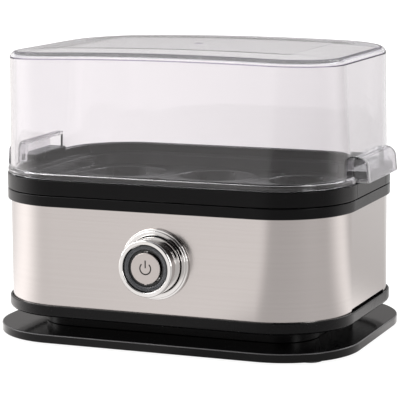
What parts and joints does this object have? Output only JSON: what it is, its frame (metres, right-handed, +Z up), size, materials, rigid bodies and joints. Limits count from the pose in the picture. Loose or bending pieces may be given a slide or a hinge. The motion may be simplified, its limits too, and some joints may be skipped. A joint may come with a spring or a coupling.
{
  "type": "egg boiler",
  "caption": "Countertop egg boiler with a foot plate, steel body, front push knob, lift-out egg tray with end grips and a tall clear lid.",
  "frame": {"origin": "on the ground under the middle of the whole outline, knob included", "axes": "+X along the long side, to the right as seen from the knob's side; +Y from the knob towards the rear; +Z up"},
  "size_m": [0.185, 0.137, 0.1382],
  "materials": {
    "black_plastic": "satin black",
    "rubber": "matt black",
    "brushed_steel": "fine satin, warm grey",
    "pan_steel": "bright",
    "chrome": "mirror bright",
    "satin_metal": "satin",
    "smoked_plastic": "smoked gloss",
    "clear_plastic": "clear with a faint grey tint",
    "seal_rubber": "translucent silicone",
    "heater_sheath": "dark heated steel",
    "zinc_plate": "zinc plated",
    "phenolic": "dark brown moulded",
    "white_nylon": "off-white",
    "board_green": "green board",
    "lead_white": "white sleeve",
    "lead_brown": "brown sleeve",
    "lead_blue": "blue sleeve"
  },
  "bodies": {
    "base": {"base_cover": "black_plastic", "foot_pad_1": "rubber", "foot_pad_2": "rubber", "foot_pad_3": "rubber", "foot_pad_4": "rubber", "case_screw_1": "zinc_plate", "case_screw_2": "zinc_plate", "case_screw_3": "zinc_plate", "case_screw_4": "zinc_plate", "chassis": "black_plastic", "cord_gland": "rubber", "steel_sleeve": "brushed_steel", "top_bezel": "black_plastic", "pan_seal": "seal_rubber", "boiling_pan": "pan_steel", "pan_collar": "black_plastic", "heating_element": "heater_sheath", "heat_reflector": "zinc_plate", "thermostat": "phenolic", "thermal_fuse": "white_nylon", "terminal_block": "white_nylon", "lead_line_in": "lead_brown", "lead_neutral_in": "lead_blue", "lead_switch_to_thermostat": "lead_white", "lead_thermostat_to_fuse": "lead_white", "lead_fuse_to_element": "lead_white", "knob_flange": "chrome", "knob_barrel": "chrome", "barrel_nut": "zinc_plate", "indicator_board": "board_green", "light_ring": "smoked_plastic", "button_spring": "zinc_plate", "switch_module": "phenolic"},
    "tray": {"egg_tray": "black_plastic"},
    "lid": {"lid": "clear_plastic"},
    "button": {"power_button": "satin_metal"}
  },
  "joints": [
    {"name": "tray_lift", "type": "slide", "parent": "base", "child": "tray", "axis": [0, 0, 1], "range_m": [0, 0.06]},
    {"name": "lid_lift", "type": "slide", "parent": "tray", "child": "lid", "axis": [0, 0, 1], "range_m": [0, 0.1]},
    {"name": "button_press", "type": "slide", "parent": "base", "child": "button", "axis": [0, 1, 0], "range_m": [0, 0.0015], "stiffness_N_per_m": 800, "deforming": ["button_spring"]}
  ]
}
